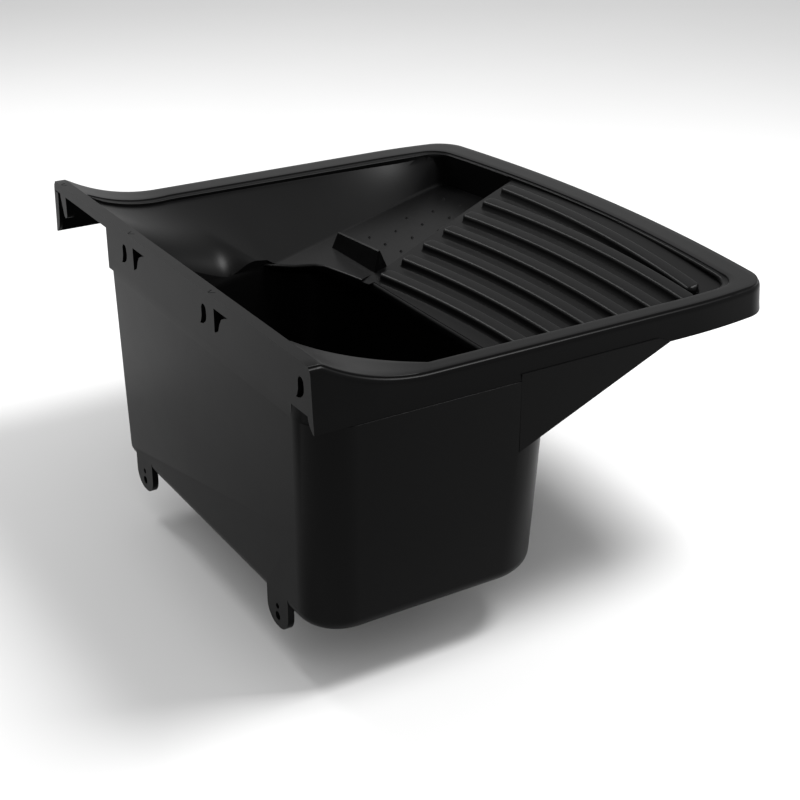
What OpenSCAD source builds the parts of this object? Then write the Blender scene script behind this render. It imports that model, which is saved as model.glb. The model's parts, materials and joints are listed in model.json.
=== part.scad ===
// Wall-hung laundry tub with a built-in washboard, a soap dish and a screwed waste.
// Origin: middle of the rear plate on the wall plane, level with the flat rim. +Z up, front is -Y.

/* [Rim and skirt] */
// Width of the tub across its rear plate
tub_w = 500; // [440:1:600]
// Depth of the tub from the wall to the middle of its front edge
tub_d = 453; // [420:1:540]
// How far the front edge bows out between its corners
front_bow = 17; // [5:1:25]
// Radius of the two front corners of the rim
front_corner_r = 30; // [20:1:40]
// Wall thickness of the moulding
wall = 3; // [2.5:0.1:4]
// Height of the skirt that hangs from the rim
skirt_h = 25.5; // [20:0.5:40]
// How far the skirt spreads out by its lower edge
skirt_flare = 5; // [2:0.5:6]
// Width of the rim beside the basin
rim_left = 12.5; // [10:0.5:16]
// Width of the rim beside the soap dish
rim_right = 39; // [30:0.5:50]
// Width of the rim along the front
rim_front = 27; // [22:0.5:34]
// Height of the rear strip over the flat rim
rise_h = 25; // [18:0.5:32]
// Radius of the sweep from the flat rim up to the rear strip
rise_r = 173; // [140:1:220]

/* [Rear band and hooks] */
// Thickness of the rear band from the wall face forward
band_t = 10; // [9:0.25:14]
// How far the thick part of the band reaches under the flat rim
band_drop = 14; // [12:1:24]
// Height of the open band beside the basin
wing_h = 8.75; // [8:0.25:12]
// Distance between neighbouring hook places
hook_pitch = 159.5; // [140:0.5:180]
// Offset of the hook row from the middle of the tub
hook_shift = -10; // [-14:0.5:10]
// Depth of the hook slots
slot_depth = 7; // [5:0.25:8]

/* [Basin] */
// Width of the deep basin outside
basin_w = 379; // [330:1:400]
// Depth of the deep basin from the wall to its front face
basin_d = 229; // [190:1:235]
// Height of the deep basin from the flat rim to its underside
basin_h = 199; // [170:1:260]
// How far the basin side stands out past the rear plate
basin_step = 5.5; // [5.2:0.1:7]
// Taper of the basin side under the soap dish, over its height
taper_right = 11; // [4:1:14]
// Taper of the basin front over its height
taper_front = 14; // [6:1:18]
// Radius of the basin's upright corners at the front
basin_front_r = 52; // [40:1:60]
// Radius of the basin's upright corner at the rear, on the outer side
basin_rear_r = 35; // [25:1:40]
// Radius between the basin's walls and floor
floor_r = 12; // [8:1:16]
// Fall of the basin floor to the waste, as a cone under the floor
floor_fall = 3; // [2:0.5:4]

/* [Tray: washboard and soap dish] */
// Distance from the wall to the lower edge of the washboard
tray_edge = 208; // [200:1:214]
// Depth of the washboard's grooves under the rim at that edge
board_low = 43.5; // [40:0.5:48]
// Depth of the washboard's grooves under the rim at the front
board_high = 3.88; // [3.5:0.01:6]
// Number of washboard ribs
rib_n = 7; // [4:1:7]
// Distance between the ribs
rib_pitch = 29.85; // [26:0.05:30]
// Width of a rib
rib_w = 14; // [10:0.5:16]
// Height of a rib over the grooves
rib_h = 7; // [4:0.5:8]
// Distance of the last rib's middle from the washboard's lower edge
rib_edge = 16.5; // [14:0.5:20]
// Distance of the ribs' ends from the side of the tub
rib_side_gap = 27; // [20:1:34]
// Distance of the ribs' ends from the step to the soap dish
rib_step_gap = 12; // [8:1:16]
// Place across the tub where the ribs' bow comes nearest to the front
rib_mid_x = 12; // [-20:1:30]
// Radius of the bow of the ribs
rib_bow_r = 1200; // [900:10:1600]
// Place across the tub of the step at the washboard's lower edge
step_x = 28; // [20:1:40]
// Slant of the step in the plan
step_angle = 20.7; // [16:0.1:22]
// Depth of the soap dish under the rim at its front
dish_low = 33; // [30:0.5:36]
// Fall of the soap dish towards the basin, in degrees
dish_angle = 2.3; // [1.5:0.1:2.6]
// Distance from the wall to where the soap dish's floor runs out at the basin
scoop_y = 156; // [140:1:170]
// How far the soap dish's wall leans in from the rim to its floor
dish_lean = 3; // [1:0.5:6]
// Height of the fence across the soap dish
fence_h = 17; // [10:0.5:20]
// Distance from the wall to the fence
fence_y = 222; // [218:1:240]
// Length of the fence
fence_l = 103; // [80:1:104]

/* [Side web] */
// Distance from the wall to the front end of the web under the skirt
web_reach = 322; // [280:1:360]
// Slope of the web's lower edge
web_angle = 22.6; // [15:0.1:28]

/* [Lower tabs] */
// Distance between the two tabs
tab_pitch = 262; // [220:1:280]
// Place of the tab pair's middle across the tub
tab_shift = -55.5; // [-70:0.5:-40]
// Width of a tab
tab_w = 36; // [30:1:44]
// How far a tab reaches under the basin
tab_drop = 22; // [20:1:30]
// Thickness of a tab
tab_t = 5.5; // [4:0.5:8]
// Rounding of a tab's lower corners
tab_r = 15; // [8:1:17]
// How far a tab runs up the basin's rear face
tab_root = 50; // [20:1:80]
// Diameter of the upper, smaller hole in a tab
tab_pilot_d = 5; // [4:0.5:5.5]
// Diameter of the lower hole in a tab
tab_hole_d = 7.5; // [5:0.5:8]
// Distance of the lower hole from the end of the tab
tab_hole_up = 9.5; // [9:0.5:11]
// Distance between the two holes of a tab
tab_hole_gap = 9; // [8:0.25:10]

/* [Waste] */
// Place of the waste across the tub
waste_x = -65; // [-110:1:-30]
// Distance of the waste from the wall
waste_y = 112; // [90:1:125]
// Diameter of the waste's threaded tail, G 1 1/4
tail_d = 41.9; // [38:0.1:44]
// Inside diameter of the tail
tail_bore_d = 33; // [28:0.5:34]
// Length of the tail under the flange
tail_l = 48; // [44:1:60]
// Length of the tail's free end, under the thread relief
outlet_l = 25; // [20:0.5:26]
// Diameter of the waste's flange
flange_d = 68; // [64:1:74]
// Thickness of the waste's flange
flange_t = 4; // [3:0.25:5]
// Depth of the plug seat, from the flange down to the strainer
seat_depth = 9; // [8:0.5:12]
// Diameter of the plug seat at its mouth
seat_d = 38.5; // [36:0.25:39]
// Thickness of the gaskets
gasket_t = 2; // [1.5:0.25:3]
// Thickness of the slip washer
slip_t = 1.5; // [1:0.25:2]
// Height of the back nut
nut_h = 12; // [10:1:16]
// Diameter of the back nut over its wings
nut_d = 62; // [58:1:68]
// Thickness of the strainer grate
grate_t = 2; // [1.5:0.25:2.5]
// Diameter of the strainer screw
screw_d = 5; // [4:0.5:6]

/* [Plug] */
// Height of the finger tab on the plug
grip_h = 16; // [12:1:24]
// Width of the finger tab
grip_w = 20; // [16:1:24]
// Thickness of the finger tab
grip_t = 5; // [4:0.5:7]
// Distance that the plug is lifted
plug_lift = 120; // [60:5:150]

/* [Clearances] */
// Gap between the tail and what it passes through
tail_gap = 0.6; // [0.3:0.1:1]
// Gap between the tail and the back nut that screws onto it
thread_gap = 0.05; // [0.02:0.01:0.1]
// Gap round the plug in its seat
plug_gap = 0.3; // [0.2:0.05:0.5]
// Gap round the strainer grate
grate_gap = 0.25; // [0.2:0.05:0.5]

/* [Hidden] */
eps = 0.02;
arc_n = 8;                 // steps in each rounded corner of the outlines
bow_n = 12;                // steps along the bowed front
$fn = 64;

half_w = tub_w / 2;
tan_dish = tan(dish_angle);
rim_in_right = half_w - rim_right;
front_in = tub_d - rim_front;                  // distance from the wall to the opening's front
board_angle = atan((board_low - board_high) / (front_in - tray_edge));
basin_x0 = -half_w - basin_step;
basin_x1 = basin_x0 + basin_w;
floor_z = -basin_h + wall;                     // top of the basin floor at its walls
rise_y = band_t + sqrt(max(0, 2 * rise_r * rise_h - rise_h * rise_h));
tray_deep = board_low + rib_h;                 // depth that clears every tray surface

function dish_z(d) = -dish_low - (front_in - d) * tan_dish;         // soap dish floor at distance d
function step_at(d) = step_x + (d - tray_edge) * tan(step_angle);   // step line at distance d

// Height of the rim's top at distance d from the wall
function rim_z(d) = d >= rise_y ? 0 : d <= band_t ? rise_h
    : rise_r - sqrt(rise_r * rise_r - pow(rise_y - d, 2));

// --- outlines and lofts ---

function corner(cx, cy, r, a) = [for (i = [0:arc_n])
    [cx + r * cos(a + 90 * i / arc_n), cy + r * sin(a + 90 * i / arc_n)]];

// Outline with a corner radius each: rear right, rear left, front left, front right
function outline(x0, x1, rear, front, r, bow = 0) = let (f = -front + bow) concat(
    corner(x1 - r[0], -rear - r[0], r[0], 0),
    corner(x0 + r[1], -rear - r[1], r[1], 90),
    corner(x0 + r[2], f + r[2], r[2], 180),
    [for (i = [1:bow_n - 1]) let (t = i / bow_n)
        [x0 + r[2] + (x1 - x0 - r[2] - r[3]) * t, f - bow * 4 * t * (1 - t)]],
    corner(x1 - r[3], f + r[3], r[3], 270));

function at_z(loop, z) = [for (p = loop) [p[0], p[1], z]];

// Closed solid through loops of equal count, listed from the lowest up
module loft(loops) {
    n = len(loops[0]);
    m = len(loops);
    polyhedron(
        points = [for (l = loops) for (p = l) p],
        faces = concat(
            [[for (i = [0:n - 1]) i]],
            [for (j = [0:m - 2]) for (i = [0:n - 1]) each [
                [j * n + i, (j + 1) * n + i, (j + 1) * n + (i + 1) % n],
                [j * n + i, (j + 1) * n + (i + 1) % n, j * n + (i + 1) % n]]],
            [[for (i = [n - 1:-1:0]) (m - 1) * n + i]]));
}

// --- tub: outer skins ---

// Rim outline, spread outwards by s
function rim_outline(s) = outline(-half_w - s, half_w + s, 0, tub_d + s,
    [1, 1, front_corner_r + s, front_corner_r + s], front_bow);

// Region under the rim's top, dropped by t
module under_rim(t) {
    rotate([90, 0, 90]) translate([0, 0, -tub_w])
        linear_extrude(2 * tub_w) polygon(concat(
            [[1, -basin_h], [1, rise_h - t]],
            [for (i = [0:bow_n]) let (d = band_t + (rise_y - band_t) * i / bow_n) [-d, rim_z(d) - t]],
            [[-tub_d - tub_w, -t], [-tub_d - tub_w, -basin_h]]));
}

module skirt_block(inset, low, drop) {
    intersection() {
        loft([at_z(rim_outline(skirt_flare - inset), low), at_z(rim_outline(-inset), 0),
              at_z(rim_outline(-inset), rise_h + 1)]);
        under_rim(drop);
    }
}

module rim_and_skirt() {
    difference() {
        skirt_block(0, -skirt_h, 0);
        skirt_block(wall, -skirt_h - eps, wall);
        // the skirt is open under the band beside the basin
        translate([basin_x1, -band_t - 1, -skirt_h - 1])
            cube([half_w - wall - basin_x1, band_t + 2, skirt_h + 1 + rise_h - wing_h]);
    }
    translate([-half_w + eps, -band_t, rise_h - wing_h]) cube([tub_w - 2 * eps, band_t - eps, wing_h]);
}

// Basin outline with its left side at x0, at distance k under the rim, pulled in by s
function basin_outline(x0, k, s, rear) = outline(x0 + s, basin_x1 - taper_right * k / basin_h - s, rear,
    basin_d - taper_front * k / basin_h - s,
    [max(floor_r - s, 4), max(basin_rear_r - s, 4), max(basin_front_r - s, 4), max(basin_front_r - s, 4)]);

// The basin's left side runs up into the skirt and follows its slope
function basin_loops(s, rear) = concat(
    [for (i = [4:-1:0]) let (a = 90 * i / 4, r = floor_r - s, pull = r * (1 - sin(90 - a)))
        at_z(basin_outline(basin_x0, basin_h, s + pull, rear + pull), -basin_h + s + r * (1 - sin(a)))],
    [at_z(basin_outline(basin_x0, skirt_h, s, rear), -skirt_h - 0.5),
     at_z(basin_outline(-half_w - skirt_flare, skirt_h, s, rear), -skirt_h),
     at_z(basin_outline(-half_w, 0, s, rear), 0),
     at_z(basin_outline(-half_w, 0, s, rear), rise_h + 1)]);

module basin_block(s, rear) {
    intersection() {
        loft(basin_loops(s, rear));
        under_rim(s);
    }
}

// Right side of the tray: sections across the tub, from the front to the rear
dish_corner_x = rim_in_right - dish_lean;
dish_front = front_in - 0.5 * front_bow;       // the soap dish's plain front wall
function fillet_x(d) = let (t = (front_in - d) / (front_in - scoop_y))
    dish_corner_x + (basin_x1 - 2 * wall - dish_corner_x) * t;
function scoop_x(d) = d >= scoop_y ? fillet_x(d) : basin_x1 - 2 * wall;
function scoop_z(d) = d >= scoop_y ? dish_z(d)
    : dish_z(scoop_y) + (rise_h - wing_h - dish_z(scoop_y)) * pow((scoop_y - d) / (scoop_y - band_t), 1.4);
// The opening narrows towards the rear strip
function open_x(d) = d >= rise_y ? rim_in_right
    : rim_in_right - 32 * pow((rise_y - d) / (rise_y - band_t), 2);
stations = concat([for (i = [0:6]) dish_front - (dish_front - scoop_y) * i / 6],
    [for (i = [1:8]) scoop_y - (scoop_y - band_t) * i / 8]);

// Left end of a section: the step by the washboard, or inside the basin
function left_x(d) = d >= tray_edge ? step_at(d) : step_at(tray_edge) - 20;

module right_side(s) {
    last = len(stations) - 1;
    top = s == 0 ? rise_h + 2 : -wall / 2;
    loft([for (i = [0:last]) let (d = stations[i], y = -d + (i == 0 ? -s : i == last && s > 0 ? wall * 2 : 0),
            lip = s == 0 ? top : rim_z(d) + top)
        [[left_x(d) - s, y, lip], [open_x(d) + s, y, lip], [open_x(d) + s, y, min(lip, rim_z(d)) - 0.6 * s],
         [scoop_x(d) + s, y, scoop_z(d) - s], [left_x(d) - s, y, scoop_z(d) - s]]]);
}

// Block of the tray over a sloping floor, grown by s
module tray_floor_cut(z_at_edge, angle, s) {
    translate([-tub_w, -tray_edge, z_at_edge - s]) rotate([-angle, 0, 0])
        translate([0, -tub_d, -100]) cube([2 * tub_w, 2 * tub_d, 100]);
}

// Space over the washboard
module board_space(s) {
    difference() {
        intersection() {
            translate([0, 0, -tray_deep - s]) linear_extrude(tray_deep + s + (s == 0 ? 1 : -wall / 2))
                polygon([[-half_w + wall, -tray_edge + 2], [step_at(tray_edge) - s / 2, -tray_edge + 2],
                    [step_at(front_in) - s / 2, -front_in - s], [-half_w + wall, -front_in - s]]);
            opening_block(s);
        }
        tray_floor_cut(-board_low, board_angle, s);
    }
}

// Upright block under the opening, from the deepest tray surface up
module opening_block(s) {
    translate([0, 0, -tray_deep - s]) linear_extrude(tray_deep + s + rise_h + 2)
        polygon(outline(-half_w + wall - eps, rim_in_right + s, band_t, front_in + s,
            [1, 1, front_corner_r, front_corner_r - 4], front_bow * 0.8));
}

// The opening through the rim, over the basin and the washboard
module rim_opening() {
    translate([0, 0, -wall - 0.5]) linear_extrude(rise_h + wall + 20)
        polygon(outline(-half_w + rim_left, step_at(front_in), band_t, front_in,
            [1, 30, front_corner_r - 8, 1], front_bow * 0.8));
}

module basin_space() {
    difference() {
        basin_block(wall, wall + 1);
        // thick rear band, with a sloping underside
        rotate([90, 0, 90]) translate([0, 0, -tub_w]) linear_extrude(2 * tub_w)
            polygon([[0, rise_h + 1], [-band_t, rise_h + 1], [-band_t, -band_drop],
                [-wall - 1, -band_drop - band_t + wall], [0, -band_drop - band_t + wall]]);
        // the washboard and the soap dish reach over the basin's front edge
        translate([-tub_w, -tub_d, -board_low - 2 * wall])
            cube([2 * tub_w, tub_d - tray_edge, tray_deep + wall]);
    }
}

// --- tub: details ---

// Bow of a line across the washboard at x
function bow_at(x) = rib_bow_r - sqrt(rib_bow_r * rib_bow_r - pow(x - rib_mid_x, 2));

module rib(i) {
    d = tray_edge + rib_edge + (rib_n - 1 - i) * rib_pitch;
    x1 = step_at(d) - rib_step_gap;
    x0 = -half_w + rib_side_gap;
    line = [for (k = [0:bow_n]) let (x = x1 + (x0 - x1) * k / bow_n) [x, bow_at(x) - d]];
    polygon(concat([for (p = line) [p[0], p[1] - rib_w / 2]],
        [for (k = [bow_n:-1:0]) [line[k][0], line[k][1] + rib_w / 2]]));
}

module ribs() {
    intersection() {
        for (i = [0:rib_n - 1])
            linear_extrude(2 * tray_deep, center = true) rib(i);
        difference() {
            tray_floor_cut(-board_low, board_angle, -rib_h);
            tray_floor_cut(-board_low, board_angle, wall / 2);
        }
        linear_extrude(2 * tray_deep, center = true)
            polygon([[-half_w + wall, -tray_edge - 1], [step_at(tray_edge), -tray_edge - 1],
                [step_at(front_in), -front_in], [-half_w + wall, -front_in]]);
    }
}

module fence() {
    z = dish_z(fence_y);
    translate([fillet_x(fence_y) - fence_l, -fence_y - wall, z - 1]) cube([fence_l + 4, wall, fence_h + 1]);
}

// Upright web under the skirt, from the basin's side to under the washboard
module side_web() {
    root = basin_d - basin_front_r;
    translate([basin_x0, 0, 0]) rotate([90, 0, 90]) linear_extrude(wall)
        polygon([[-root, 1 - skirt_h], [-web_reach, 1 - skirt_h], [-web_reach, -skirt_h - 0.5],
            [-root, -skirt_h - (web_reach - root) * tan(web_angle)]]);
}

module tab(x) {
    translate([x, 0, -basin_h - tab_drop]) rotate([90, 0, 0]) linear_extrude(tab_t) {
        translate([-tab_w / 2, tab_r]) square([tab_w, tab_root + tab_drop - tab_r]);
        translate([-tab_w / 2 + tab_r, 0]) square([tab_w - 2 * tab_r, tab_r + 1]);
        for (k = [-1, 1]) translate([k * (tab_w / 2 - tab_r), tab_r]) circle(tab_r);
    }
}
// Free tongue that hangs from the band beside the basin
module wing_tongue() {
    translate([hook_x(3), 0, 0]) rotate([90, 0, 0]) linear_extrude(slot_depth)
        polygon([[-6.75, rise_h - wing_h + 1], [7, rise_h - wing_h + 1], [7, 13.5], [0.5, -4], [-2, -5],
            [-5, -4], [-6.75, -1]]);
}

function tab_x(k) = tab_shift + k * tab_pitch / 2;
tab_hole_z = -basin_h - tab_drop + tab_hole_up;

module tab_holes() {
    for (k = [-1, 1]) translate([tab_x(k), 1, tab_hole_z]) rotate([90, 0, 0]) {
        cylinder(d = tab_hole_d, h = tab_t + 2);
        translate([0, tab_hole_gap, 0]) cylinder(d = tab_pilot_d, h = tab_t + 2);
    }
}

// Slots on both sides of a hook tongue, seen from the wall side
function hook_x(k) = hook_shift + (k - 1.5) * hook_pitch;
comma = [[16.5, 2], [16.5, 11], [14.5, 13], [12, 13], [9.5, 11], [8, 5], [12, 0], [18, -5], [20, -5.5], [18, -2]];
flag = [[-6.5, 15.5], [-31, 15.5], [-19.5, 10.5], [-13, -1], [-6.5, -4]];

module hook_slots() {
    for (k = [0:3]) translate([hook_x(k), eps, 0]) rotate([90, 0, 0]) {
        if (k < 3) linear_extrude(slot_depth) polygon(comma);
        if (k == 1 || k == 2) linear_extrude(slot_depth) polygon(flag);
    }
}

// --- waste placement, from the basin floor down ---

seat_z = floor_z - floor_fall;                       // level floor round the waste
flange_z = seat_z + gasket_t;                        // underside of the flange
floor_under_z = -basin_h - floor_fall;               // underside of the floor at the waste
slip_z = floor_under_z - gasket_t;
nut_z = slip_z - slip_t;
hole_d = tail_d + 2 * tail_gap;
pad_d = flange_d + 8;
flange_top_z = flange_z + flange_t;
grate_z = flange_top_z - seat_depth;                 // top of the strainer grate
grate_d = seat_d - 2.5;                              // seat diameter at the strainer

module at_waste(z) { translate([waste_x, -waste_y, z]) children(); }

module tub_shell() color([0.02, 0.02, 0.02]) {
    difference() {
        union() {
            rim_and_skirt();
            basin_block(0, 0);
            board_space(wall);
            right_side(wall);
            side_web();
            wing_tongue();
            tab(tab_x(-1));
            tab(tab_x(1));
            at_waste(floor_under_z) cylinder(d = pad_d, h = floor_fall + wall);
        }
        basin_space();
        board_space(0);
        right_side(0);
        rim_opening();
        hook_slots();
        tab_holes();
        at_waste(seat_z) cylinder(d = pad_d - 2, h = floor_fall + wall);
        at_waste(-2 * basin_h) cylinder(d = hole_d, h = 2 * basin_h);
    }
    ribs();
    fence();
}

// --- waste ---

module ring(d_out, d_in, h) {
    difference() {
        cylinder(d = d_out, h = h);
        translate([0, 0, -1]) cylinder(d = d_in, h = h + 2);
    }
}

module flange_gasket() color([0.12, 0.12, 0.12]) at_waste(seat_z) ring(flange_d - 4, hole_d, gasket_t);

module waste_body() color([0.85, 0.85, 0.83]) at_waste(flange_z) {
    throat = -grate_t - grate_gap - (seat_depth - flange_t);
    difference() {
        union() {
            rotate_extrude() polygon([[0, 0], [flange_d / 2, 0], [flange_d / 2, 1], [flange_d / 2 - 4, flange_t],
                [0, flange_t]]);
            translate([0, 0, -tail_l]) cylinder(d = tail_d, h = tail_l + 1);
        }
        translate([0, 0, -tail_l + outlet_l]) ring(tail_d + 2, tail_d - 1, 1.5);
        translate([0, 0, -tail_l - 1]) cylinder(d = tail_bore_d, h = 2 * tail_l);
        rotate_extrude() polygon([[0, throat], [grate_d / 2, throat], [grate_d / 2, flange_t - seat_depth],
            [seat_d / 2, flange_t + 0.5], [0, flange_t + 0.5]]);
    }
    // crossed bars with the screw boss
    translate([0, 0, throat - 3]) difference() {
        union() {
            for (a = [0, 90]) rotate([0, 0, a])
                translate([-tail_bore_d / 2 - 0.5, -1.5, 0]) cube([tail_bore_d + 1, 3, 3]);
            translate([0, 0, -5]) cylinder(d = 2 * screw_d, h = 8);
        }
        translate([0, 0, -6]) cylinder(d = screw_d, h = 12);
    }
}

module strainer_grate() color([0.75, 0.76, 0.78]) at_waste(grate_z - grate_t) difference() {
    cylinder(d = grate_d - 2 * grate_gap, h = grate_t);
    translate([0, 0, -1]) cylinder(d = screw_d + 0.1, h = grate_t + 2);
    for (ring_i = [1, 2]) let (n = ring_i * 6, r = ring_i * grate_d * 0.185)
        for (a = [0:n - 1]) rotate([0, 0, a * 360 / n + ring_i * 15])
            translate([r, 0, -1]) cylinder(d = 4.2, h = grate_t + 2);
}

module strainer_screw() color([0.75, 0.76, 0.78]) at_waste(grate_z) {
    difference() {
        cylinder(d1 = 1.7 * screw_d, d2 = 1.3 * screw_d, h = 1.6);
        translate([-screw_d, -0.5, 0.8]) cube([2 * screw_d, 1, 2]);
    }
    translate([0, 0, -grate_t - 9]) cylinder(d = screw_d, h = grate_t + 9 + eps);
}

module under_gasket() color([0.1, 0.1, 0.1]) at_waste(slip_z) ring(flange_d - 10, hole_d, gasket_t);

module slip_washer() color([0.9, 0.9, 0.88]) at_waste(nut_z) ring(flange_d - 10, hole_d, slip_t);

module back_nut() color([0.85, 0.85, 0.83]) at_waste(nut_z - nut_h) difference() {
    union() {
        cylinder(d = tail_d + 10, h = nut_h);
        translate([0, 0, nut_h - 3]) cylinder(d = flange_d - 12, h = 3);
        for (a = [0:60:300]) rotate([0, 0, a])
            translate([0, -2.5, 0]) cube([nut_d / 2, 5, nut_h - 1]);
    }
    translate([0, 0, -1]) cylinder(d = tail_d + 2 * thread_gap, h = nut_h + 2);
}

module plug() color([0.05, 0.05, 0.05]) at_waste(grate_z) {
    foot = 2.2;                                       // clears the screw head
    lip = 3;
    difference() {
        rotate_extrude() polygon([[0, foot], [grate_d / 2 - plug_gap, foot],
            [seat_d / 2 - plug_gap - 0.4, seat_depth], [seat_d / 2 + 3, seat_depth + plug_gap],
            [seat_d / 2 + 3, seat_depth + lip - 1], [seat_d / 2, seat_depth + lip], [0, seat_depth + lip]]);
        translate([0, 0, foot - 1]) cylinder(d = grate_d - 12, h = seat_depth - foot - 1);
    }
    translate([-grip_w / 2, -grip_t / 2, seat_depth + lip - 1]) cube([grip_w, grip_t, grip_h - grip_w / 4]);
    translate([0, grip_t / 2, seat_depth + lip + grip_h - grip_w / 2]) rotate([90, 0, 0])
        cylinder(d = grip_w, h = grip_t);
}

tub_shell();
flange_gasket();
waste_body();
strainer_grate();
strainer_screw();
under_gasket();
slip_washer();
back_nut();
plug();
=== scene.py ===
import json
import math
import bpy
import bmesh
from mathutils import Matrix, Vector


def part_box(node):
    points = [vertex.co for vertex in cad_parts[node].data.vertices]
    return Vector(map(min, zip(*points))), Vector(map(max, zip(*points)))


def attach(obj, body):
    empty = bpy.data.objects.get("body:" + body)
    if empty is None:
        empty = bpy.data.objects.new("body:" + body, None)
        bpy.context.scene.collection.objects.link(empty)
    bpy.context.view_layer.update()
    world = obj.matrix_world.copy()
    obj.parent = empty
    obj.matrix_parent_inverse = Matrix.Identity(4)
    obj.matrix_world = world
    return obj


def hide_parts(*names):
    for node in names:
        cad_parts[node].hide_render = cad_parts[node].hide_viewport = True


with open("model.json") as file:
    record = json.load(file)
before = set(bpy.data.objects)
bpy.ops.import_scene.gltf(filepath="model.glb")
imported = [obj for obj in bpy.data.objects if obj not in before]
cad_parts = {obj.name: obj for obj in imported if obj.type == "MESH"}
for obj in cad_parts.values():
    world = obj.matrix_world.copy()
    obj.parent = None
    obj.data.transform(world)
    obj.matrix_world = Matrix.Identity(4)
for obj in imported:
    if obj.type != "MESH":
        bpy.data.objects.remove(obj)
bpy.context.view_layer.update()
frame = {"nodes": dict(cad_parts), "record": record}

print("frame loaded")

tubLow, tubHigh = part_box("tub_shell")
drainLow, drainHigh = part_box("waste_body")
drainX = (drainLow[0] + drainHigh[0]) / 2
drainY = (drainLow[1] + drainHigh[1]) / 2

tub = {
    "halfWidth": 0.250, "depth": 0.453, "wall": 0.003,
    "riseHeight": tubHigh[2], "riseRadius": 0.173,
    "stripDepth": 0.0102, "stripHeight": 0.0088,
    "skirtHeight": 0.0255, "skirtLean": 0.1, "frontBow": 0.017, "cornerRadius": 0.025,
    "sideNip": 1.0, "nipStart": 0.340,
    "landLeft": 0.0122, "landRight": 0.0220, "landFront": 0.0235,
    "beadIn": 0.0095, "beadFront": 0.30, "beadRight": 0.80, "beadLow": 0.56, "beadOut": 0.00335,
    "beadDrop": 0.008, "beadFrom": 0.236, "beadRun": 0.030,
}
opening = {
    "start": 0.010, "run": 0.095, "leftPull": 0.038, "leftCurve": 1.75, "rightPull": 0.036,
    "rightCurve": 0.45, "cornerRadius": 0.022, "easeStart": 0.004, "easeRun": 0.030,
}
basin = {
    "left": -0.2553, "right": 0.1232, "front": 0.2288, "bottom": -0.199,
    "taperRight": 0.011, "taperFront": 0.0138, "frontRadius": 0.052, "rearRadius": 0.035,
    "rightRadius": 0.010, "floorRadius": 0.0115, "rearWall": 0.004,
}
tray = {
    "edge": 0.208, "low": 0.0435, "slope": math.tan(math.radians(10.3)),
    "stepAt": 0.028, "stepSlant": math.tan(math.radians(20.7)),
    "dishLow": 0.0335, "dishSlope": 0.0402, "fillet": 0.0075, "scoop": 0.156, "corner": 0.3918,
    "front": 0.4266, "cornerRadius": 0.019, "sideGap": 0.0002, "left": -0.2500,
}


def lerp(a, b, t):
    return a + (b - a) * t


def smooth(t):
    t = min(1.0, max(0.0, t))
    return t * t * (3 - 2 * t)


def keepObject(name, mesh):
    thing = bpy.data.objects.new(name, mesh)
    bpy.context.scene.collection.objects.link(thing)
    return thing


def ringSolid(name, rings):
    # closed solid through rings of equal count
    count = len(rings[0])
    verts = [p for ring in rings for p in ring]
    faces = [tuple(reversed(range(count)))]
    for j in range(len(rings) - 1):
        for i in range(count):
            k = (i + 1) % count
            faces.append((j * count + i, j * count + k, (j + 1) * count + k, (j + 1) * count + i))
    faces.append(tuple(range((len(rings) - 1) * count, len(rings) * count)))
    mesh = bpy.data.meshes.new(name)
    mesh.from_pydata(verts, [], faces)
    build = bmesh.new()
    build.from_mesh(mesh)
    bmesh.ops.remove_doubles(build, verts=build.verts, dist=1e-6)
    bmesh.ops.triangulate(build, faces=[f for f in build.faces if len(f.verts) > 4])
    bmesh.ops.recalc_face_normals(build, faces=build.faces)
    build.to_mesh(mesh)
    build.free()
    return keepObject(name, mesh)


def bakeModifiers(thing):
    graph = bpy.context.evaluated_depsgraph_get()
    mesh = bpy.data.meshes.new_from_object(thing.evaluated_get(graph), depsgraph=graph)
    thing.modifiers.clear()
    old = thing.data
    thing.data = mesh
    bpy.data.meshes.remove(old)


def combine(target, tools, operation):
    for tool in tools:
        change = target.modifiers.new("change", "BOOLEAN")
        change.operation = operation
        change.solver = "MANIFOLD"
        change.object = tool
        bakeModifiers(target)
        bpy.data.objects.remove(tool)
    return target


def boxSolid(name, low, high):
    return ringSolid(name, [[(low[0], low[1], z), (high[0], low[1], z), (high[0], high[1], z),
                             (low[0], high[1], z)] for z in (low[2], high[2])])


def plateSolid(name, outline, rear, front):
    # outline in x and z, between two distances from the wall
    return ringSolid(name, [[(x, -d, z) for x, z in outline] for d in (rear, front)])


def arc(cx, cy, radius, start, end, steps):
    return [(cx + radius * math.cos(math.radians(lerp(start, end, i / steps))),
             cy + radius * math.sin(math.radians(lerp(start, end, i / steps)))) for i in range(steps + 1)]


riseReach = tub["stripDepth"] + math.sqrt(2 * tub["riseRadius"] * tub["riseHeight"] - tub["riseHeight"] ** 2)


def rimTop(d):
    if d >= riseReach:
        return 0.0
    if d <= tub["stripDepth"]:
        return tub["riseHeight"]
    return tub["riseRadius"] - math.sqrt(tub["riseRadius"] ** 2 - (riseReach - d) ** 2)


def nip(x, d):
    # the sides draw in gently towards the front corners
    pull = tub["sideNip"] * max(0.0, d - tub["nipStart"]) ** 2
    return x * (1 - pull / tub["halfWidth"])


def skirtX(z):
    return tub["halfWidth"] + tub["beadOut"] - (z + tub["beadDrop"]) * tub["skirtLean"]


def openShare(d):
    return min(1.0, max(0.0, (d - opening["start"]) / opening["run"]))


def openLeft(d):
    pull = opening["leftPull"] * (1 - openShare(d) ** opening["leftCurve"])
    return -tub["halfWidth"] + tub["landLeft"] + pull


def openRight(d):
    pull = opening["rightPull"] * (1 - openShare(d) ** opening["rightCurve"])
    return tub["halfWidth"] - tub["landRight"] - pull


def rearEase(d):
    # the bead fades out close to the wall
    return smooth((d - opening["easeStart"]) / opening["easeRun"])


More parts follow.
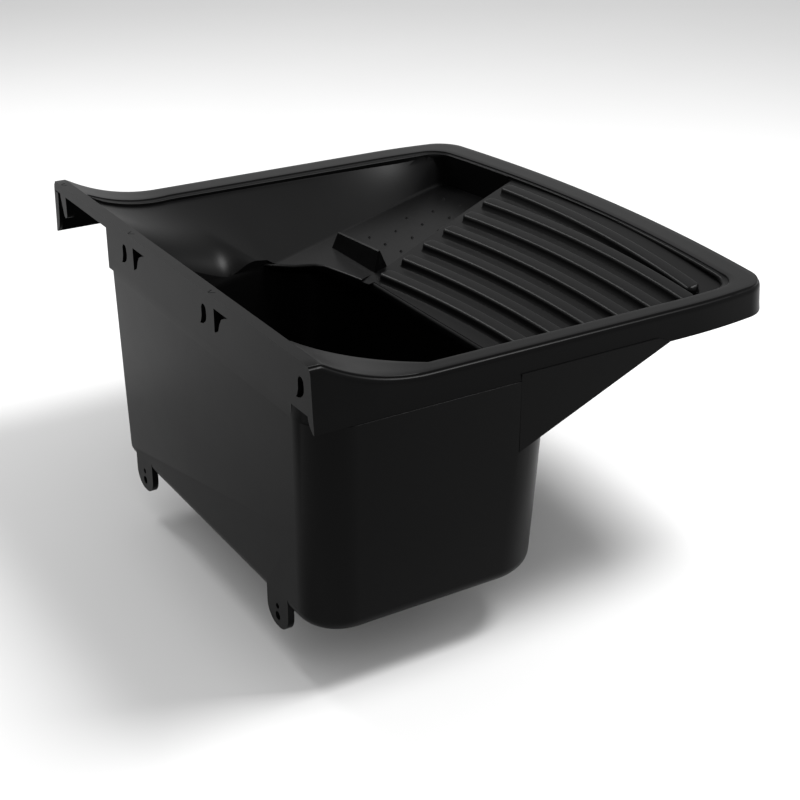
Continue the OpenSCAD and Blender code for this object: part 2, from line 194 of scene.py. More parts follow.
def bowedEnd(x0, x1, front, radius, bow, steps, span):
    # front-left corner, bowed front and front-right corner, in order from the left side
    half = (x1 - x0) / 2
    lean = math.degrees(math.atan(2 * bow / (half - radius)))
    cy = -front + bow + radius * math.cos(math.radians(lean))
    left = arc(x0 + radius, cy, radius, 180, 270 - lean, steps)
    right = arc(x1 - radius, cy, radius, 270 + lean, 360, steps)
    a, b = left[-1], right[0]
    middle = [(lerp(a[0], b[0], i / span), -front + bow * (2 * i / span - 1) ** 2) for i in range(1, span)]
    return left + middle + right


sideSteps, cornerSteps, frontSteps = 60, 18, 48


def sideSpots(end):
    # distances from the wall along a side, closer together near the rear
    return [end * (i / sideSteps) ** 1.25 for i in range(sideSteps)]


def rimLoop(inset, outer):
    # one line round the rim, open at the wall: left side, front, right side
    if outer:
        front, radius = tub["depth"], tub["cornerRadius"]
        x0, x1 = -tub["halfWidth"], tub["halfWidth"]
        growLeft = growFront = growRight = inset
    else:
        front, radius = tub["depth"] - tub["landFront"], opening["cornerRadius"]
        x0, x1 = openLeft(1), openRight(1)
        growLeft, growFront, growRight = -inset, -inset * tub["beadFront"], -inset * tub["beadRight"]
    end = bowedEnd(x0 - growLeft, x1 + growRight, front + growFront, max(radius + growFront, 0.002),
                   tub["frontBow"], cornerSteps, frontSteps)
    spots = sideSpots(-end[0][1])
    left, right = [], []
    for d in spots:
        ease = 1.0 if outer else rearEase(d)
        xl = x0 if outer else openLeft(d)
        xr = x1 if outer else openRight(d)
        left.append((xl - growLeft * ease, -d))
        right.append((xr + growRight * ease, -d))
    return left + end + right[::-1]


def rimRing(inset, outer, drop, level=None):
    points = []
    for x, y in rimLoop(inset, outer):
        part = 1.0 if outer else lerp(1.0, tub["beadLow"], smooth((x + tub["beadFrom"]) / tub["beadRun"]))
        z = level if level is not None else rimTop(-y) - drop * part
        if outer:
            # the skirt leans out, so its edge draws in where the rim rises
            x *= 1 - max(0.0, z) * tub["skirtLean"] / tub["halfWidth"]
        points.append((nip(x, -y), y, z))
    return points


def makeRim():
    w = tub["wall"]
    out, drop = tub["beadOut"], tub["beadDrop"]
    flare = (tub["skirtHeight"] - drop) * tub["skirtLean"]
    outerEdge = [(0.0, 0.0), (0.0005, 0.0001), (0.0009, 0.0005), (0.0011, 0.0011), (0.00115, 0.0017),
                 (0.0015, 0.0021)]
    outerEdge += [(0.0017 + (out - 0.0017) * math.sin(a), drop - (drop - 0.0023) * math.cos(a))
                  for a in [math.radians(x) for x in range(8, 91, 12)]]
    innerEdge = [(0.0, 0.0), (0.0006, 0.0001), (0.0011, 0.0005), (0.0013, 0.0011), (0.0014, 0.0018),
                 (0.0019, 0.0023), (0.0030, 0.0025)]
    innerEdge += [(0.0040 + (tub["beadIn"] - 0.0040) * math.sin(a), drop - (drop - 0.0027) * math.cos(a))
                  for a in [math.radians(x) for x in range(5, 91, 12)]]
    rings = [rimRing(out + flare, True, 0, -tub["skirtHeight"]),
             rimRing(out + flare - 0.0008, True, 0, -tub["skirtHeight"] + 0.006)]
    rings += [rimRing(o, True, d) for o, d in reversed(outerEdge)]
    outerLine, innerLine = rimRing(0, True, 0), rimRing(0, False, 0)
    for t in (0.25, 0.5, 0.75):
        band = []
        for a, b in zip(outerLine, innerLine):
            x, y = lerp(a[0], b[0], t), lerp(a[1], b[1], t)
            band.append((x, y, rimTop(-y)))
        rings.append(band)
    rings += [rimRing(o, False, d) for o, d in innerEdge]
    rings.append(rimRing(tub["beadIn"] - 0.0002, False, drop + 0.0006))
    rings.append(rimRing(tub["beadIn"] - w, False, drop + 0.0008))
    rings.append(rimRing(0.0008, False, 0.0023 + w))
    rings.append(rimRing(-0.003, False, w))
    rings.append(rimRing(-w + 0.0005, True, w + 0.0005))
    rings.append(rimRing(-w + out - 0.0005, True, drop))
    rings.append(rimRing(out + flare - w, True, 0, -tub["skirtHeight"] + 0.0005))
    # across each station the rings close on themselves, so sweep station by station
    stations = [[ring[i] for ring in rings] for i in range(len(rings[0]))]
    stations[0] = [(p[0], 0.0, p[2]) for p in stations[0]]
    stations[-1] = [(p[0], 0.0, p[2]) for p in stations[-1]]
    return ringSolid("rim", stations)


def basinRing(left, right, rear, front, radii, z):
    # starts at the rear right corner
    r0, r1, r2, r3 = [max(r, 0.001) for r in radii]
    points = arc(right - r0, -rear - r0, r0, 0, 90, 10) + arc(left + r1, -rear - r1, r1, 90, 180, 18)
    points += arc(left + r2, -front + r2, r2, 180, 270, 18) + arc(right - r3, -front + r3, r3, 270, 360, 18)
    return [(x, y, z) for x, y in points]


def basinSection(z, shrink, rear=0.0, left=None):
    k = z / basin["bottom"]
    r = basin["frontRadius"] - shrink
    return basinRing((basin["left"] if left is None else left) + shrink,
                     basin["right"] - basin["taperRight"] * k - shrink, rear,
                     basin["front"] - basin["taperFront"] * k - shrink,
                     (basin["rightRadius"], basin["rearRadius"] - shrink, r, r), z)


def floorSections(bottom, radius, shrink, rear):
    rings = []
    for i in range(8):
        a = math.radians(90 - 90 * i / 7)
        pull = radius * (1 - math.cos(a))
        ring = basinSection(bottom, shrink + pull, rear + pull)
        rings.append([(x, y, bottom + radius * (1 - math.sin(a))) for x, y, z in ring])
    return rings


def makeBasin():
    rings = floorSections(basin["bottom"], basin["floorRadius"], 0.0, 0.0)
    rings += [basinSection(z, 0.0) for z in (-0.12, -0.026)]
    rings.append(basinSection(-0.0250, 0.0, 0.0, basin["left"] + 0.0022))
    rings.append(basinSection(-0.0020, 0.0, 0.0, basin["left"] + 0.0045))
    return ringSolid("basin", rings)


def makeBasinSpace():
    w = tub["wall"]
    rings = floorSections(basin["bottom"] + w, basin["floorRadius"] - 0.002, w, basin["rearWall"])
    rings += [basinSection(z, w, basin["rearWall"]) for z in (-0.14, -0.078)]
    top = []
    for z, more, rise in ((-0.0500, 0.0004, 0), (-0.0460, 0.0, 0), (-0.0448, 0.0005, 0), (-0.0440, 0.0012, 0),
                          (-0.0436, 0.0026, 0), (0.05, 0.0026, 1)):
        front = tray["edge"] + more
        left = -0.2515 if rise else basin["left"] + w
        top.append(basinRing(left, basin["right"] - w - 0.002, basin["rearWall"], front,
                             (0.008, 0.030, 0.046, 0.046), z))
    return ringSolid("basinSpace", rings + top)


def boardTop(d):
    return -tray["low"] + (d - tray["edge"]) * tray["slope"]


def dishTop(d):
    return -tray["dishLow"] - (tray["front"] - d) * tray["dishSlope"]


def stepX(d):
    return tray["stepAt"] + (d - tray["edge"]) * tray["stepSlant"]


def boardSlab(name, rear, front, drop, top, right):
    left = tray["left"]
    stations = []
    for d in (rear, front):
        x, z = stepX(d) + right, boardTop(d) - drop
        stations.append([(left, -d, z), (x, -d, z), (x, -d, top), (left, -d, top)])
    return ringSolid(name, stations)


def frontTrim(shrink, z0, z1, leftX):
    # upright block bounded by the bowed inner wall of the front
    rightX = openRight(1) - tub["beadRight"] * tub["beadIn"] + tray["sideGap"] + shrink
    end = bowedEnd(leftX, rightX, tray["front"] + shrink, tray["cornerRadius"] + shrink,
                   tub["frontBow"], 14, 40)
    outline = end + [(end[-1][0], -0.004), (leftX, -0.004)]
    return ringSolid("frontTrim", [[(nip(x, -y), y, z) for x, y in outline] for z in (z0, z1)])


def wallFoot(d):
    # where the side wall meets the soap dish's floor, seen from above
    t = (tray["corner"] - d) / (tray["corner"] - tray["scoop"])
    return min(lerp(0.2072, 0.1110, t), 0.2145)


def wallSection(d, grow):
    z0 = rimTop(d) - tub["beadDrop"] * tub["beadLow"]
    x0 = openRight(d) - tub["beadRight"] * tub["beadIn"] * rearEase(d)
    left = stepX(d) if d >= tray["edge"] else 0.010
    curve = []
    steps = 14
    blend = smooth((tray["scoop"] - 0.004 - d) / 0.045)
    zf = dishTop(max(d, tray["scoop"]))
    lift = max(0.0, (tray["scoop"] - d) / (tray["scoop"] - tub["stripDepth"]))
    zc = zf + (tub["riseHeight"] - tub["stripHeight"] - zf) * lift ** 1.5
    xc = wallFoot(max(d, tray["scoop"]))
    # floor corner: a small fillet by the dish, a broad shoulder over the basin
    r = tray["fillet"]
    run = math.hypot(x0 - xc, z0 - zc)
    ux, uz = (x0 - xc) / run, (z0 - zc) / run
    back = r * math.tan((math.pi - math.acos(-ux)) / 2) if ux < 1 else r
    back = min(max(back, r * 0.3), 0.45 * run)
    pull = lerp(back, 0.55 * run, blend)
    drop = 0.045 * blend
    start = (xc + ux * pull, zc + uz * pull)
    stop = (xc - lerp(back, 0.0, blend), zc - drop)
    for i in range(steps + 1):
        t = i / steps
        x = (1 - t) ** 2 * start[0] + 2 * t * (1 - t) * xc + t * t * stop[0]
        z = (1 - t) ** 2 * start[1] + 2 * t * (1 - t) * zc + t * t * stop[1]
        curve.append((x, z))
    top = rimTop(d) - 0.002 if grow else 0.05
    points = [(x0, top), (x0, z0)]
    points += [(lerp(x0, start[0], i / 5), lerp(z0, start[1], i / 5)) for i in range(1, 5)]
    points += curve + [(left, curve[-1][1]), (left, top)]
    if grow:
        points = [(x + (grow if x > left + 1e-6 else -grow), z - (grow if i > 1 and z < top - 1e-6 else 0))
                  for i, (x, z) in enumerate(points)]
    return points


def wallStations(grow):
    stations = []
    spots = [tray["front"] + 0.010 - (tray["front"] - tray["scoop"] + 0.010) * i / 24 for i in range(25)]
    spots += [tray["scoop"] - (tray["scoop"] - 0.008) * i / 30 for i in range(1, 31)]
    for i, d in enumerate(spots):
        y = -d
        if grow and i == 0:
            y -= grow
        stations.append([(nip(x, d), y, z) for x, z in wallSection(d, grow)])
    return stations


ribs = {"count": 7, "pitch": 0.02985, "width": 0.0128, "height": 0.0072, "bow": 1.2, "first": 0.4040,
        "soft": 0.0026, "left": -0.226}


def ribLine(i, x):
    # distance from the wall of rib i at x; each rib bows to the front
    middle = 0.010 if i == 0 else -0.060 - 0.017 * (i - 1)
    start = stepX(ribs["first"] - i * ribs["pitch"]) - 0.0135
    crown = ((start - middle) ** 2) / (2 * ribs["bow"])
    return ribs["first"] - 0.0045 - i * ribs["pitch"] + crown - (x - middle) ** 2 / (2 * ribs["bow"])


def makeRib(i):
    right = stepX(ribs["first"] - i * ribs["pitch"]) - 0.0135
    left = ribs["left"] + (0.012 if i == 0 else 0.0)
    half, high, soft = ribs["width"] / 2, ribs["height"], ribs["soft"]
    spots = [right - half * (1 - math.cos(math.radians(a))) for a in range(0, 91, 10)]
    spots += [lerp(right - half, left + half, k / 40) for k in range(1, 40)]
    spots += [left + half * (1 - math.sin(math.radians(a))) for a in range(0, 91, 10)]
    stations = []
    for x in spots:
        end = min(right - x, x - left)
        fill = math.sqrt(max(0.0, 1 - (1 - min(1.0, end / half)) ** 2))
        wide = max(half * fill, 0.0004)
        d = ribLine(i, x)
        top = high * lerp(0.35, 1.0, min(1.0, fill * 1.15))
        foot = wide + 0.0016
        profile = [(-foot - 0.001, -0.002), (-foot, 0.0), (-wide - 0.0004, 0.0014), (-wide, top - soft)]
        r = min(soft, wide * 0.8)
        for a in (20, 40, 60, 75, 90):
            turn = math.radians(a)
            profile.append((-wide + r * (1 - math.cos(turn)), top - soft + soft * math.sin(turn)))
        profile += [(-u, v) for u, v in reversed(profile)]
        stations.append([(x, -d + u, boardTop(d - u) + v) for u, v in profile])
    return ringSolid("rib", stations)


fence = {"from": 0.0375, "to": 0.118, "at": 0.2205, "thick": 0.0022, "lean": 0.0048, "height": 0.0205,
         "lower": 0.0045, "slant": 0.006, "webReach": 0.0185}


def makeFence():
    # a plate that leans to the front, lower at its far end, with a web behind its near end
    z = dishTop(fence["at"]) - 0.003
    low, far = fence["from"], fence["to"]
    top, end = z + 0.003 + fence["height"], z + 0.003 + fence["height"] - fence["lower"]
    stations = []
    for k in (0.0, 0.85, 0.97, 1.0):
        back = fence["at"] + fence["lean"] * k
        thick = fence["thick"] * (1.5 - 0.5 * k) * (0.45 if k == 1.0 else 1.0)
        nudge = (fence["thick"] - thick) / 2 if k == 1.0 else 0
        a = (low, -back - nudge, lerp(z, top, k))
        b = (far - fence["slant"] * k, -back - nudge, lerp(z, end, k))
        stations.append([a, b, (b[0], b[1] - thick, b[2]), (a[0], a[1] - thick, a[2])])
    plate = ringSolid("fence", stations)
    y0, y1 = -fence["at"] - 0.002, -fence["at"] - fence["webReach"]
    web = ringSolid("fenceWeb", [[(x, y0, z), (x + 0.008, y1, z), (x + 0.0075, y1, z + 0.0035),
                                  (x, y0 - fence["lean"], top - 0.0005)] for x in (low, low + 0.0022)])
    return plate, web


# rounded edge where the soap dish runs out over the basin
ledge = {"edge": [(0.1200, 0.1475), (0.1135, 0.1525), (0.1035, 0.1625), (0.0970, 0.1695), (0.0925, 0.1790),
                  (0.0880, 0.1868), (0.0800, 0.1925), (0.0640, 0.1962), (0.0435, 0.2005), (0.0200, 0.2050)],
         "deep": 0.016, "round": 0.0016, "inset": 0.055, "pullX": 0.120, "pullTo": 0.211, "lowest": -0.046}


def makeLedge():
    def ring(z, pull):
        points = []
        for x, d in ledge["edge"]:
            level = z if z < ledge["lowest"] else dishTop(d) - ledge["round"] + z
            points.append((lerp(x, ledge["pullX"], pull), -lerp(d, ledge["pullTo"], pull), level))
        first, last = points[0][2], points[-1][2]
        points += [(0.0200, -0.2120, last), (0.1215, -0.2120, first), (0.1215, -0.1470, first)]
        return points
    base = -0.0445 - ledge["deep"]
    rings = [ring(base, 0.55), ring(base + 0.006, 0.20), ring(base + 0.010, 0.07)]
    for a in (0, 30, 60, 90):
        turn = math.radians(a)
        rings.append(ring(ledge["round"] * math.sin(turn), ledge["inset"] * (1 - math.cos(turn))))
    rings.append(ring(0.012, ledge["inset"]))
    return ringSolid("ledge", rings)


hooks = {"pitch": 0.1595, "shift": -0.010, "depth": 0.007}
lugs = {"pitch": 0.262, "shift": -0.0555, "width": 0.035, "drop": 0.022, "thick": 0.0055,
        "big": 0.0075, "small": 0.005, "up": 0.0095, "gap": 0.009}


drain = {"radius": 0.0217, "low": -0.23, "high": -0.18}


def hookX(k):
    return hooks["shift"] + (k - 1.5) * hooks["pitch"]


def commaOutline(cx):
    right = [(0.0083, 0.0090), (0.0078, 0.0050), (0.0082, 0.0020), (0.0100, -0.0010), (0.0140, -0.0038)]
    left = [(0.0205, -0.0053), (0.0185, -0.0030), (0.0168, 0.0020)]
    return [(cx + x, z) for x, z in arc(0.0125, 0.0088, 0.0042, 0, 180, 10) + right + left]


def flagOutline(cx):
    spots = [(-0.0063, 0.0155), (-0.0310, 0.0155), (-0.0250, 0.0135), (-0.0195, 0.0108), (-0.0160, 0.0060),
             (-0.0130, -0.0010), (-0.0080, -0.0040), (-0.0063, -0.0040)]
    return [(cx + x, z) for x, z in spots]


def makeRearBand():
    top, deep = tub["riseHeight"], tub["stripDepth"]
    radius, inset, low, under = 0.0065, 0.002, -0.014, top - tub["stripHeight"]
    side = tub["halfWidth"] - inset
    corner = arc(-tub["halfWidth"] + 0.0085, top - radius, radius, 90, 180, 8)
    outline = corner + [(corner[-1][0], low), (basin["right"], low), (basin["right"], under)]
    outline += [(side, under), (side, top - radius)]
    outline += arc(tub["halfWidth"] - 0.0085, top - radius, radius, 0, 90, 8)
    band = plateSolid("band", outline, 0.0, deep)
    foot = low - 0.007
    wedge = ringSolid("bandWedge", [[(x, 0, low), (x, -deep, low), (x, -0.0035, foot), (x, 0, foot)]
                                    for x in (-0.2215, basin["right"])])
    # closes the corner between the band and the scoop
    gusset = boxSolid("bandGusset", (basin["right"] - 0.003, -deep, 0.004),
                      (basin["right"] + 0.016, -0.006, 0.0166))
    return band, wedge, gusset


def makeTongue():
    cx = hookX(3)
    high = tub["riseHeight"] - tub["stripHeight"] + 0.001
    outline = [(cx - 0.00675, high), (cx + 0.0068, high), (cx + 0.0070, 0.0137), (cx + 0.0008, -0.0030)]
    outline += [(cx - 0.0005, -0.0045), (cx - 0.0028, -0.0050), (cx - 0.0052, -0.0040),
                (cx - 0.00675, -0.0015)]
    return plateSolid("tongue", outline, 0.0, hooks["depth"])


def makeEndFlange(side):
    # thicker edge of the skirt against the wall
    zs = [tub["riseHeight"] - 0.010, 0.0, -0.010, -0.017, -0.021, -0.0238, -0.0254]
    wide = [0.0085, 0.0085, 0.0085, 0.0078, 0.0060, 0.0036, 0.0006]
    outline = [(side * (skirtX(z) - 0.0001), z) for z in zs] + \
              [(side * (skirtX(z) - t), z) for z, t in zip(reversed(zs), reversed(wide))]
    return plateSolid("endFlange", outline, 0.0, 0.0032)


def makeWeb():
    root, foot = basin["front"] - basin["frontRadius"], 0.321
    low = tub["skirtHeight"] + (foot - root) * math.tan(math.radians(22.6))
    outline = [(-root, -0.020), (-foot + 0.012, -0.020), (-foot, -tub["skirtHeight"]), (-root, -low)]
    return ringSolid("web", [[(x, y, z) for y, z in outline] for x in (basin["left"], basin["left"] + 0.003)])


def makeLug(x):
    r = lugs["width"] * 0.44
    half = lugs["width"] / 2
    low = basin["bottom"] - lugs["drop"]
    outline = arc(x - half + r, low + r, r, 180, 270, 14) + arc(x + half - r, low + r, r, 270, 360, 14)
    outline += [(x + half, basin["bottom"] + 0.012), (x - half, basin["bottom"] + 0.012)]
    return plateSolid("lug", outline, 0.0, lugs["thick"])


def roundCutter(x, z, diameter):
    return plateSolid("hole", arc(x, z, diameter / 2, 0, 360 - 360 / 40, 39), -0.002, 0.012)


print("shape rules ready")


shell = makeBasin()
boardBlock = boardSlab("board", tray["edge"] - 0.004, tray["front"] + 0.004, tub["wall"], -0.002, -0.001)
combine(boardBlock, [frontTrim(tub["wall"], -0.08, 0.02, -0.2520)], "INTERSECT")
rightBlock = ringSolid("rightBlock", wallStations(tub["wall"]))
combine(rightBlock, [frontTrim(tub["wall"] + 0.001, -0.12, 0.05, -0.30)], "INTERSECT")
combine(shell, [boardBlock, rightBlock], "UNION")
print("outer blocks joined", len(shell.data.polygons))

rightSpace = ringSolid("rightSpace", wallStations(0))
combine(rightSpace, [frontTrim(0.0, -0.12, 0.08, -0.30)], "INTERSECT")
boardSpace = boardSlab("boardSpace", tray["edge"] - 0.010, tray["front"] + 0.010, 0.0, 0.06, 0.004)
combine(boardSpace, [frontTrim(0.0, -0.12, 0.08, -0.2495)], "INTERSECT")
basinSpace = combine(makeBasinSpace(), [makeLedge()], "DIFFERENCE")
combine(shell, [basinSpace, rightSpace, boardSpace], "DIFFERENCE")
print("spaces cut", len(shell.data.polygons))

band, wedge, gusset = makeRearBand()
combine(shell, [makeRim(), band, wedge, gusset, makeTongue()], "UNION")
combine(shell, [makeEndFlange(-1), makeEndFlange(1), makeWeb()], "UNION")
combine(shell, [makeLug(lugs["shift"] + k * lugs["pitch"] / 2) for k in (-1, 1)], "UNION")
combine(shell, [makeRib(i) for i in range(ribs["count"])], "UNION")
plate, web = makeFence()
combine(shell, [plate, web], "UNION")
print("moulding joined", len(shell.data.polygons))

cutters = [plateSolid("comma", commaOutline(hookX(k)), -0.001, hooks["depth"]) for k in (0, 1, 2)]
cutters += [plateSolid("flag", flagOutline(hookX(k)), -0.001, hooks["depth"]) for k in (1, 2)]
for k in (0, 1, 2, 3):
    for way in (-1, 1):
        x, top = hookX(k) + 0.004, tub["riseHeight"]
        if x - 0.006 > -tub["halfWidth"]:
            spots = [(x, -0.0012), (x + way * 0.0032, -0.0056), (x + way * 0.0040, -0.0052),
                     (x + 0.0007 * way, -0.0008)]
            levels = (top - 0.0004, top + 0.001)
            cutters.append(ringSolid("tick", [[(px, py, z) for px, py in spots] for z in levels]))
for k in (-1, 1):
    x = lugs["shift"] + k * lugs["pitch"] / 2
    z = basin["bottom"] - lugs["drop"] + lugs["up"]
    cutters += [roundCutter(x, z, lugs["big"]), roundCutter(x, z + lugs["gap"], lugs["small"])]
drainRing = arc(drainX, drainY, drain["radius"], 0, 354, 59)
cutters.append(ringSolid("drain", [[(x, y, z) for x, y in drainRing] for z in (drain["low"], drain["high"])]))
combine(shell, cutters, "DIFFERENCE")
shell.name = "tubMoulding"
print("moulding cut", len(shell.data.polygons))

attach(shell, "tub")
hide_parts("tub_shell")


pins = {"radius": 0.0021, "tip": 0.0004, "height": 0.0022, "sunk": 0.0006,
        "spots": [(0.119, 0.2637), (0.094, 0.2665), (0.0692, 0.269), (0.1185, 0.2933), (0.0937, 0.2965),
                  (0.1437, 0.3213), (0.119, 0.324), (0.0942, 0.3268), (0.1443, 0.3525), (0.1188, 0.3557),
                  (0.1692, 0.3815), (0.144, 0.3843)]}


class Tree:
    # a geometry node tree; add() takes a type, its settings and its inputs

    def __init__(self, name):
        self.group = bpy.data.node_groups.new(name, "GeometryNodeTree")
        self.group.interface.new_socket("Geometry", in_out="OUTPUT", socket_type="NodeSocketGeometry")
        self.entry = None

    def named(self, name, kind, value):
        socket = self.group.interface.new_socket(name, in_out="INPUT", socket_type=kind)
        socket.default_value = value
        if self.entry is None:
            self.entry = self.group.nodes.new("NodeGroupInput")

    def value(self, name):
        return self.entry.outputs[name]

    def add(self, kind, settings=None, inputs=None, output=0):
        node = self.group.nodes.new(kind)
        for key, value in (settings or {}).items():
            setattr(node, key, value)
        for key, value in (inputs or {}).items():
            if isinstance(value, bpy.types.NodeSocket):
                self.group.links.new(value, node.inputs[key])
            else:
                node.inputs[key].default_value = value
        return node.outputs[output]

    def finish(self, geometry, material):
        real = self.add("GeometryNodeRealizeInstances", None, {0: geometry})
        dressed = self.add("GeometryNodeSetMaterial", None, {"Geometry": real, "Material": material})
        end = self.group.nodes.new("NodeGroupOutput")
        self.group.links.new(dressed, end.inputs[0])


def grow(name, tree, start, values):
    # runs the tree on a start mesh and keeps the plain result
    thing = keepObject(name, start)
    change = thing.modifiers.new("grow", "NODES")
    change.node_group = tree.group
    for item in tree.group.interface.items_tree:
        if item.in_out == "INPUT" and item.name in values:
            change[item.identifier] = values[item.name]
    bakeModifiers(thing)
    return thing


def makePins(material):
    tree = Tree("pinTree")
    tree.group.interface.new_socket("Geometry", in_out="INPUT", socket_type="NodeSocketGeometry")
    tree.named("Radius", "NodeSocketFloat", pins["radius"])
    tree.named("Height", "NodeSocketFloat", pins["height"])
    cone = tree.add("GeometryNodeMeshCone", None, {
        "Vertices": 24, "Side Segments": 3, "Fill Segments": 1, "Radius Top": pins["tip"],
        "Radius Bottom": tree.value("Radius"), "Depth": tree.value("Height")})
    spread = tree.add("GeometryNodeInstanceOnPoints", None, {
        "Points": tree.entry.outputs[0], "Instance": cone})
    tree.finish(spread, material)
    start = bpy.data.meshes.new("pinSpots")
    start.from_pydata([(x, -d, dishTop(d) - pins["sunk"]) for x, d in pins["spots"]], [], [])
    return grow("dishPins", tree, start, {"Radius": pins["radius"], "Height": pins["height"]})


class Signal:
    # wraps a socket, so that shader maths reads as sums

    def __init__(self, paint, socket):
        self.paint, self.socket = paint, socket

    def maths(self, operation, a, b=0.0):
        return self.paint.add("ShaderNodeMath", {"operation": operation}, {0: a, 1: b})

    def __add__(self, other):
        return self.maths("ADD", self, other)

    def __radd__(self, other):
        return self.maths("ADD", other, self)

    def __mul__(self, other):
        return self.maths("MULTIPLY", self, other)

    def __rmul__(self, other):
        return self.maths("MULTIPLY", other, self)


class Paint:
    # one material; add() takes a type, its settings and its inputs

    def __init__(self, name):
        self.material = bpy.data.materials.new(name)
        self.material.use_nodes = True
        self.tree = self.material.node_tree
        self.tree.nodes.clear()
        self.place = self.add("ShaderNodeTexCoord", None, None, "Object")

    def add(self, kind, settings=None, inputs=None, output=0):
        node = self.tree.nodes.new(kind)
        for key, value in (settings or {}).items():
            setattr(node, key, value)
        for key, value in (inputs or {}).items():
            if isinstance(value, Signal):
                self.tree.links.new(value.socket, node.inputs[key])
            else:
                node.inputs[key].default_value = value
        return Signal(self, node.outputs[output])

    def noise(self, scale, detail=2.0, stretch=(1, 1, 1)):
        moved = self.add("ShaderNodeVectorMath", {"operation": "MULTIPLY"}, {0: self.place, 1: stretch})
        return self.add("ShaderNodeTexNoise", None, {"Vector": moved, "Scale": scale, "Detail": detail})

    def tint(self, factor, a, b):
        return self.add("ShaderNodeMix", {"data_type": "RGBA"}, {0: factor, 6: a, 7: b}, 2)

    def bump(self, height, strength, distance):
        return self.add("ShaderNodeBump", None, {
            "Strength": strength, "Distance": distance, "Height": height})

    def finish(self, inputs):
        shader = self.add("ShaderNodeBsdfPrincipled", None, inputs)
        end = self.tree.nodes.new("ShaderNodeOutputMaterial")
        self.tree.links.new(shader.socket, end.inputs[0])
        return self.material


def shellPlastic():
    paint = Paint("satinBlackPlastic")
    cloud, patch, grain = paint.noise(7, 3), paint.noise(45, 4), paint.noise(1500, 2)
    colour = paint.tint(cloud, (0.0012, 0.0012, 0.0012, 1), (0.0020, 0.0020, 0.0021, 1))
    rough = 0.28 + 0.05 * cloud + 0.04 * patch + 0.03 * grain
    return paint.finish({"Base Color": colour, "Roughness": rough, "IOR": 1.49, "Specular IOR Level": 0.06,
                         "Normal": paint.bump(grain * 0.6 + patch * 0.4, 0.10, 0.0002)})


def wastePlastic():
    paint = Paint("offWhitePlastic")
    cloud, grain = paint.noise(30, 3), paint.noise(1400, 2)
    colour = paint.tint(cloud, (0.74, 0.74, 0.70, 1), (0.82, 0.82, 0.79, 1))
    return paint.finish({"Base Color": colour, "Roughness": 0.34 + 0.10 * cloud, "IOR": 1.49,
                         "Normal": paint.bump(grain, 0.08, 0.0002)})


def grateSteel():
    paint = Paint("brushedSteel")
    streak, patch = paint.noise(60, 4, (1, 26, 8)), paint.noise(90, 3)
    colour = paint.tint(streak, (0.52, 0.52, 0.53, 1), (0.68, 0.68, 0.69, 1))
    rough = 0.24 + 0.14 * streak + 0.06 * patch
    return paint.finish({"Base Color": colour, "Metallic": 1.0, "Roughness": rough,
                         "Normal": paint.bump(streak, 0.12, 0.0002)})


def rubber(name, low, high, base):
    paint = Paint(name)
    cloud, grain = paint.noise(55, 4), paint.noise(1100, 3)
    return paint.finish({"Base Color": paint.tint(cloud, low, high), "Roughness": base + 0.14 * cloud,
                         "Specular IOR Level": 0.4, "Normal": paint.bump(grain, 0.16, 0.0003)})


finishes = {
    "shell_plastic": shellPlastic(),
    "waste_plastic": wastePlastic(),
    "grate_steel": grateSteel(),
    "gasket_rubber": rubber("gasketRubber", (0.014, 0.014, 0.014, 1), (0.030, 0.030, 0.029, 1), 0.62),
    "plug_rubber": rubber("plugRubber", (0.012, 0.012, 0.012, 1), (0.024, 0.024, 0.024, 1), 0.50),
}
shell.data.materials.clear()
shell.data.materials.append(finishes["shell_plastic"])
shell.data.shade_smooth()
shell.data.set_sharp_from_angle(angle=math.radians(32))
pinPiece = makePins(finishes["shell_plastic"])
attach(pinPiece, "tub")
for part in frame["record"]["subparts"]:
    node = frame["nodes"][part["node"]]
    node.data.materials.clear()
    node.data.materials.append(finishes[part["material_slot"]])
print("materials ready")


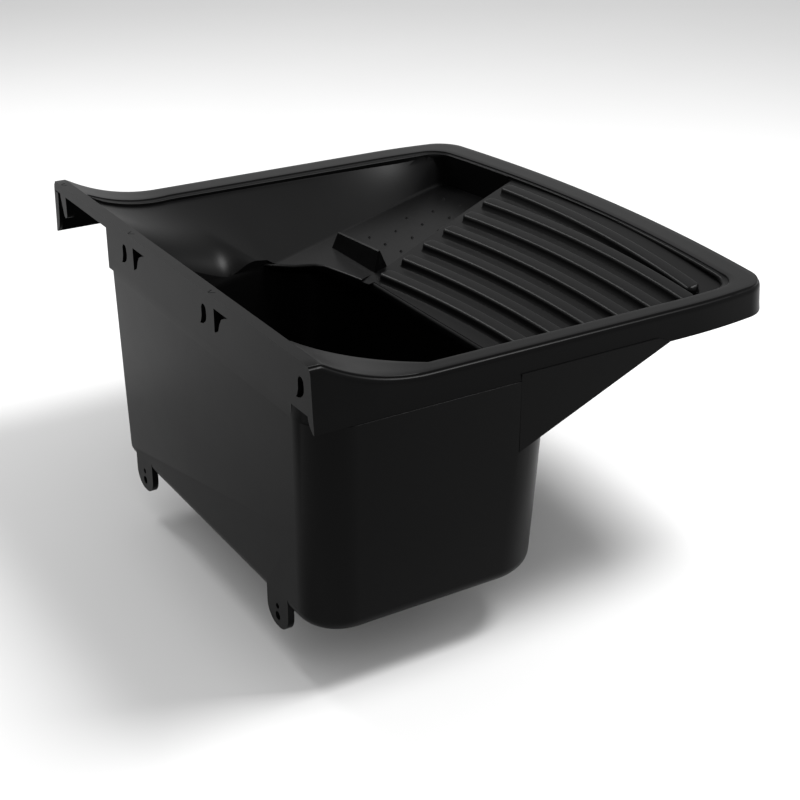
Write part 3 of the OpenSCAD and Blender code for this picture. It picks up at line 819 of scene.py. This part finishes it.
view = {"azimuth": 238.576, "elevation": 25.347, "place": (-1.10495, 0.44945, 0.45705), "lens": 69.50,
        "floor": -0.2465, "sensor": 36, "world": 0.85}
lamps = {
    "frontKey": {"place": (-0.35, -0.95, 1.45), "aim": (0, -0.2, 0), "size": (0.6, 0.6), "power": 44},
    "sideKey": {"place": (1.5, 0.05, 1.25), "aim": (0, -0.2, 0), "size": (0.6, 0.6), "power": 18},
}


def addFloor():
    mesh = bpy.data.meshes.new("floor")
    corners = ((-9, -9), (9, -9), (9, 9), (-9, 9))
    mesh.from_pydata([(x, y, view["floor"]) for x, y in corners], [], [(0, 1, 2, 3)])
    thing = keepObject("floor", mesh)
    paint = Paint("paleFloor")
    cloud = paint.noise(3, 2)
    colour = paint.tint(cloud, (0.58, 0.58, 0.58, 1), (0.60, 0.60, 0.60, 1))
    mesh.materials.append(paint.finish({"Base Color": colour, "Roughness": 0.9, "Specular IOR Level": 0.1}))


def addLamp(name, place, aim, size, power):
    lamp = bpy.data.lights.new(name, "AREA")
    lamp.shape, lamp.size, lamp.size_y, lamp.energy = "RECTANGLE", size[0], size[1], power
    thing = bpy.data.objects.new(name, lamp)
    thing.location = place
    thing.rotation_euler = (Vector(aim) - Vector(place)).to_track_quat("-Z", "Y").to_euler()
    bpy.context.scene.collection.objects.link(thing)


def addWorld():
    world = bpy.data.worlds.new("studio")
    world.use_nodes = True
    world.node_tree.nodes["Background"].inputs["Color"].default_value = (1, 1, 1, 1)
    world.node_tree.nodes["Background"].inputs["Strength"].default_value = view["world"]
    bpy.context.scene.world = world


def addCamera():
    camera = bpy.data.cameras.new("camera")
    camera.lens = view["lens"]
    camera.sensor_width = view["sensor"]
    thing = bpy.data.objects.new("camera", camera)
    thing.location = view["place"]
    thing.rotation_euler = (math.radians(90 - view["elevation"]), 0, math.radians(view["azimuth"]))
    bpy.context.scene.collection.objects.link(thing)
    bpy.context.scene.camera = thing


bpy.context.scene.view_settings.view_transform = "Standard"
addFloor()
addWorld()
for name, lamp in lamps.items():
    addLamp(name, lamp["place"], lamp["aim"], lamp["size"], lamp["power"])
addCamera()
